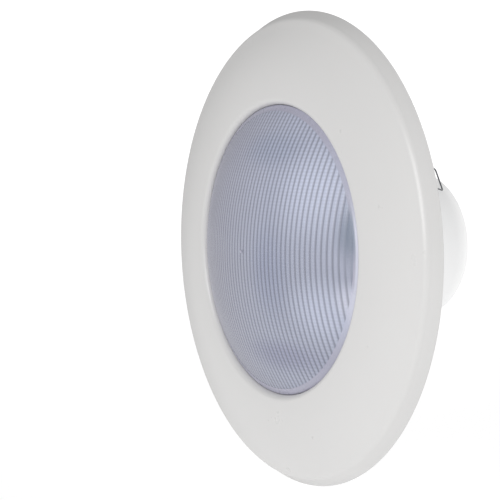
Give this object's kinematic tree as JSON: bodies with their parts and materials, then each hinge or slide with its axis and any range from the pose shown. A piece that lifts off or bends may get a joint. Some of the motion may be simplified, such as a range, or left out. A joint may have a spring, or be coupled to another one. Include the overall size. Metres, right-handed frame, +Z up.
{
  "type": "underwater pool light",
  "caption": "Round wall-mounted underwater pool light: domed white trim ring, convex ribbed clear lens, sealed bowl housing with rear cap, cable gland and sprung wire clips.",
  "frame": {"origin": "centre of the wall plane, where the light's axis crosses the back edge of the trim ring", "axes": "+Y along the light's axis into the wall, so the lens faces -Y; +Z up; +X to the right seen from the pool"},
  "size_m": [0.268, 0.1401, 0.268],
  "materials": {
    "white_plastic": "white ABS, satin gloss",
    "lens_clear": "clear polycarbonate with moulded vertical ribs",
    "lamp_plastic": "pale grey moulded plastic",
    "black_rubber": "moulded silicone rubber",
    "steel": "drawn stainless steel",
    "aluminium": "plain machined aluminium",
    "nickel_brass": "nickel-plated brass",
    "board_white": "white solder mask with light-emitting diodes",
    "board_green": "green circuit board",
    "terminal_green": "moulded nylon"
  },
  "bodies": {
    "lamp": {"lens": "lens_clear", "clamp_ring": "lamp_plastic", "lens_gasket": "black_rubber", "body_shell": "lamp_plastic", "clamp_screw_1": "steel", "clamp_screw_2": "steel", "clamp_screw_3": "steel", "clamp_screw_4": "steel", "clamp_screw_5": "steel", "clamp_screw_6": "steel", "heat_sink": "aluminium", "led_board": "board_white", "reflector_ring": "white_plastic", "driver_board": "board_green", "receiver_module": "board_green", "terminal_block": "terminal_green", "board_spacer_1": "nickel_brass", "board_spacer_2": "nickel_brass", "board_spacer_3": "nickel_brass", "board_spacer_4": "nickel_brass", "board_screw_1": "steel", "board_screw_2": "steel", "board_screw_3": "steel", "board_screw_4": "steel", "cap_seal": "black_rubber", "clip_bracket_1": "steel", "clip_bracket_2": "steel", "clip_bracket_3": "steel"},
    "trim": {"trim_ring": "white_plastic"},
    "cap": {"rear_cap": "white_plastic", "gland_body": "nickel_brass", "gland_washer": "black_rubber", "gland_locknut": "nickel_brass", "gland_seal": "black_rubber"},
    "nut": {"gland_nut": "nickel_brass"},
    "clip_right": {"wire_clip_1": "steel"},
    "clip_left": {"wire_clip_2": "steel"},
    "clip_bottom": {"wire_clip_3": "steel"}
  },
  "joints": [
    {"name": "trim_pull_off", "type": "slide", "parent": "lamp", "child": "trim", "axis": [0, -1, 0], "range_m": [0, 0.05]},
    {"name": "cap_pull_off", "type": "slide", "parent": "lamp", "child": "cap", "axis": [0, 1, 0], "range_m": [0, 0.03]},
    {"name": "gland_nut_turn", "type": "hinge", "parent": "cap", "child": "nut", "pos_m": [0, 0.091, 0], "axis": [0, 1, 0], "continuous": true},
    {"name": "clip_right_hinge", "type": "hinge", "parent": "lamp", "child": "clip_right", "pos_m": [0.08311, 0.0012, 0.05193], "axis": [0.5299, 0, -0.848], "range_deg": [0, 40], "stiffness_Nm_per_rad": 0.05, "springref_deg": -17.19},
    {"name": "clip_left_hinge", "type": "hinge", "parent": "lamp", "child": "clip_left", "pos_m": [-0.08653, 0.0012, 0.04601], "axis": [0.4695, 0, 0.8829], "range_deg": [0, 40], "stiffness_Nm_per_rad": 0.05, "springref_deg": -17.19},
    {"name": "clip_bottom_hinge", "type": "hinge", "parent": "lamp", "child": "clip_bottom", "pos_m": [0.00342, 0.0012, -0.09794], "axis": [-0.9994, 0, -0.0349], "range_deg": [0, 40], "stiffness_Nm_per_rad": 0.05, "springref_deg": -17.19}
  ]
}
